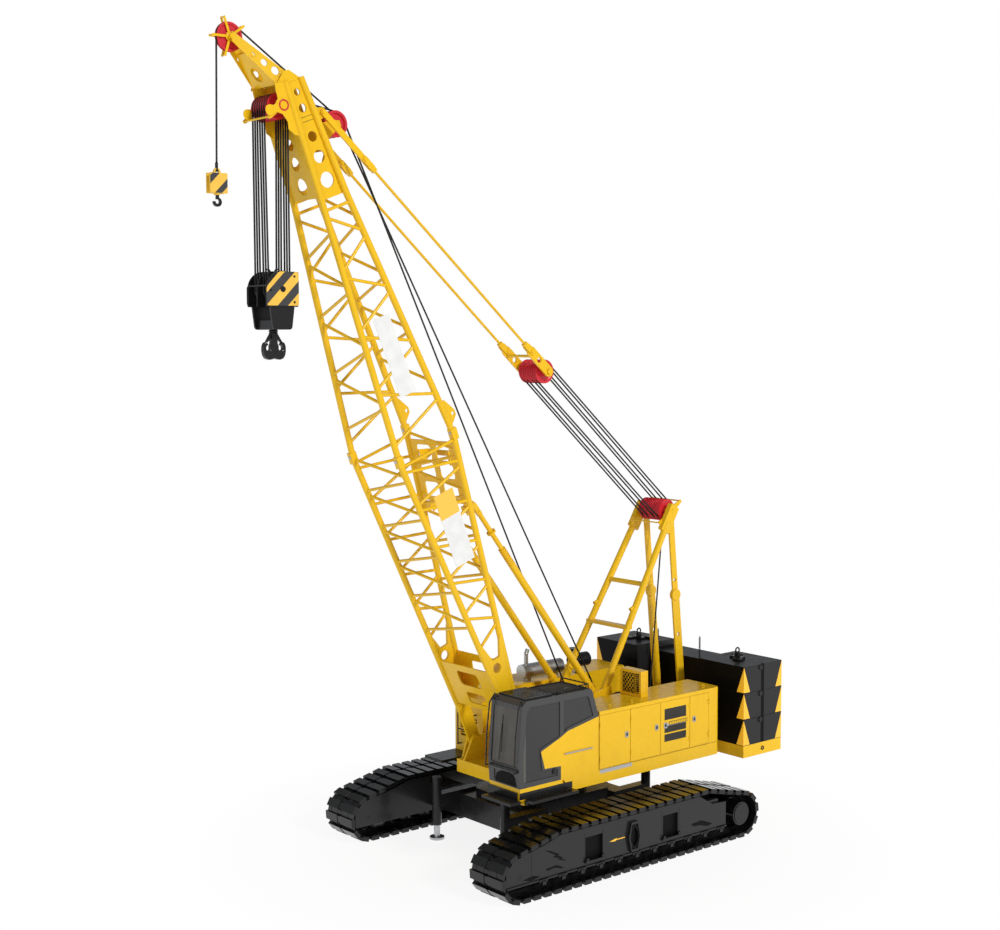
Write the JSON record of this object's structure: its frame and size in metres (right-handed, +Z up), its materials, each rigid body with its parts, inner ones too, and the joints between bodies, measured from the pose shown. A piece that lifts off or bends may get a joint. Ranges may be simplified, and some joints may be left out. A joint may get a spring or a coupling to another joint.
{
  "type": "crawler crane",
  "caption": "Crawler crane on two fixed track loops with a slewing upper, a luffing lattice boom, gantry, counterweight, main hook block and tip hook.",
  "frame": {"origin": "slewing centre, on the ground under the middle of the tracks", "axes": "+X forward along the tracks and boom, +Y to the left (cab side), +Z up"},
  "size_m": [12.1758, 5.56, 15.3999],
  "materials": {
    "boards": "satin",
    "bright_steel": "satin",
    "dark_paint": "satin",
    "glass": "gloss",
    "paint": "gloss",
    "seat": "matte",
    "sheave_red": "gloss",
    "stripes": "gloss",
    "track_steel": "matte",
    "weight_paint": "satin"
  },
  "bodies": {
    "undercarriage": {"car_body": "dark_paint", "idlers": "track_steel", "sprockets": "track_steel", "track_drives": "dark_paint", "track_frame_left": "dark_paint", "track_frame_right": "dark_paint", "track_left": "track_steel", "track_right": "track_steel", "track_rollers": "track_steel"},
    "upper": {"air_cleaner": "dark_paint", "cab": "dark_paint", "cab_glass": "glass", "cab_guards": "dark_paint", "cab_panel": "paint", "cab_seat": "seat", "cooler": "paint", "counterweight_slabs": "weight_paint", "counterweight_tray": "paint", "engine_block": "dark_paint", "gantry_legs": "paint", "gantry_links": "paint", "handrails": "dark_paint", "house_left": "paint", "house_right": "paint", "muffler": "bright_steel", "revolving_frame": "paint", "walkways": "dark_paint", "winch_drums": "dark_paint"},
    "boom": {"boom_base": "paint", "boom_boards": "boards", "boom_head": "paint", "boom_tip": "paint", "boom_top": "paint", "guide_sheaves": "sheave_red"},
    "main_sheaves": {"main_sheaves": "sheave_red"},
    "main_hook": {"block_sheaves": "dark_paint", "hook_block": "dark_paint", "main_hook": "dark_paint"},
    "tip_sheave": {"tip_sheave": "sheave_red"},
    "tip_hook": {"tip_block": "stripes", "tip_hook": "dark_paint"},
    "gantry_sheaves": {"gantry_sheaves": "sheave_red"},
    "bail": {"bail": "paint", "bail_sheaves": "sheave_red"},
    "pendant_links": {"pendant_links": "paint"},
    "backstop_tubes": {"backstop_tubes": "paint"},
    "backstop_rods": {"backstop_rods": "paint"},
    "door_left_a": {"door_left_a": "paint"},
    "door_left_b": {"door_left_b": "paint"},
    "door_left_c": {"door_left_c": "paint"},
    "door_left_d": {"door_left_d": "paint"},
    "door_right_a": {"door_right_a": "paint"},
    "door_right_b": {"door_right_b": "paint"},
    "door_right_c": {"door_right_c": "paint"},
    "door_right_d": {"door_right_d": "paint"},
    "jack_front_left": {"jack_front_left": "bright_steel"},
    "jack_front_right": {"jack_front_right": "bright_steel"},
    "jack_rear_left": {"jack_rear_left": "bright_steel"},
    "jack_rear_right": {"jack_rear_right": "bright_steel"}
  },
  "joints": [
    {"name": "slew", "type": "hinge", "parent": "undercarriage", "child": "upper", "pos_m": [0, 0, 1.3], "axis": [0, 0, 1], "continuous": true},
    {"name": "luff", "type": "hinge", "parent": "upper", "child": "boom", "pos_m": [1.128, 0, 1.979], "axis": [0, -1, 0], "range_deg": [-39.2, 10.8]},
    {"name": "main_sheave_turn", "type": "hinge", "parent": "boom", "child": "main_sheaves", "pos_m": [6.18563, 0, 13.96412], "axis": [0, -1, 0], "range_deg": [-10.8, 39.2]},
    {"name": "main_hoist", "type": "slide", "parent": "main_sheaves", "child": "main_hook", "axis": [0, 0, -1], "range_m": [-1.9, 9]},
    {"name": "tip_sheave_turn", "type": "hinge", "parent": "boom", "child": "tip_sheave", "pos_m": [6.96982, 0, 15.06543], "axis": [0, -1, 0], "range_deg": [-10.8, 39.2]},
    {"name": "tip_hoist", "type": "slide", "parent": "tip_sheave", "child": "tip_hook", "axis": [0, 0, -1], "range_m": [-1.7, 11.5]},
    {"name": "gantry_sheave_turn", "type": "hinge", "parent": "upper", "child": "gantry_sheaves", "pos_m": [-3.245, 0, 6.4], "axis": [0, -1, 0], "range_deg": [-34.37, 9.83]},
    {"name": "luff_ropes", "type": "slide", "parent": "gantry_sheaves", "child": "bail", "axis": [0.7521, 0, 0.6591], "range_m": [-1.1289, 4.045]},
    {"name": "pendant_link_turn", "type": "hinge", "parent": "boom", "child": "pendant_links", "pos_m": [5.34676, 0, 13.92977], "axis": [0, -1, 0], "range_deg": [-1.04, 2.46]},
    {"name": "backstop_turn", "type": "hinge", "parent": "upper", "child": "backstop_tubes", "pos_m": [-0.905, 0, 2.85], "axis": [0, -1, 0], "range_deg": [-33, 9.45]},
    {"name": "backstop_slide", "type": "slide", "parent": "backstop_tubes", "child": "backstop_rods", "axis": [0.6084, 0, 0.7936], "range_m": [-0.3889, 1.3589]},
    {"name": "door_left_a_hinge", "type": "hinge", "parent": "upper", "child": "door_left_a", "pos_m": [0.161, 1.862, 2.2775], "axis": [0, 0, -1], "range_deg": [0, 100]},
    {"name": "door_left_b_hinge", "type": "hinge", "parent": "upper", "child": "door_left_b", "pos_m": [-0.669, 1.862, 2.2775], "axis": [0, 0, -1], "range_deg": [0, 100]},
    {"name": "door_left_c_hinge", "type": "hinge", "parent": "upper", "child": "door_left_c", "pos_m": [-2.343, 1.862, 2.2775], "axis": [0, 0, 1], "range_deg": [0, 100]},
    {"name": "door_left_d_hinge", "type": "hinge", "parent": "upper", "child": "door_left_d", "pos_m": [-2.903, 1.862, 2.2775], "axis": [0, 0, 1], "range_deg": [0, 100]},
    {"name": "door_right_a_hinge", "type": "hinge", "parent": "upper", "child": "door_right_a", "pos_m": [0.161, -1.862, 2.2775], "axis": [0, 0, 1], "range_deg": [0, 100]},
    {"name": "door_right_b_hinge", "type": "hinge", "parent": "upper", "child": "door_right_b", "pos_m": [-0.669, -1.862, 2.2775], "axis": [0, 0, 1], "range_deg": [0, 100]},
    {"name": "door_right_c_hinge", "type": "hinge", "parent": "upper", "child": "door_right_c", "pos_m": [-2.343, -1.862, 2.2775], "axis": [0, 0, -1], "range_deg": [0, 100]},
    {"name": "door_right_d_hinge", "type": "hinge", "parent": "upper", "child": "door_right_d", "pos_m": [-2.903, -1.862, 2.2775], "axis": [0, 0, -1], "range_deg": [0, 100]},
    {"name": "jack_front_left_slide", "type": "slide", "parent": "undercarriage", "child": "jack_front_left", "axis": [0, 0, -1], "range_m": [0, 0.45]},
    {"name": "jack_front_right_slide", "type": "slide", "parent": "undercarriage", "child": "jack_front_right", "axis": [0, 0, -1], "range_m": [0, 0.45]},
    {"name": "jack_rear_left_slide", "type": "slide", "parent": "undercarriage", "child": "jack_rear_left", "axis": [0, 0, -1], "range_m": [0, 0.45]},
    {"name": "jack_rear_right_slide", "type": "slide", "parent": "undercarriage", "child": "jack_rear_right", "axis": [0, 0, -1], "range_m": [0, 0.45]}
  ],
  "couplings": [
    {"joint": "main_sheave_turn", "follows": "luff", "ratio": -1},
    {"joint": "tip_sheave_turn", "follows": "luff", "ratio": -1},
    {"joint": "gantry_sheave_turn", "follows": "luff", "ratio": 0.864},
    {"joint": "luff_ropes", "follows": "luff", "m_per_rad": -5.883},
    {"joint": "pendant_link_turn", "follows": "luff", "ratio": -0.05},
    {"joint": "backstop_turn", "follows": "luff", "ratio": 0.829},
    {"joint": "backstop_slide", "follows": "luff", "m_per_rad": -1.957}
  ]
}
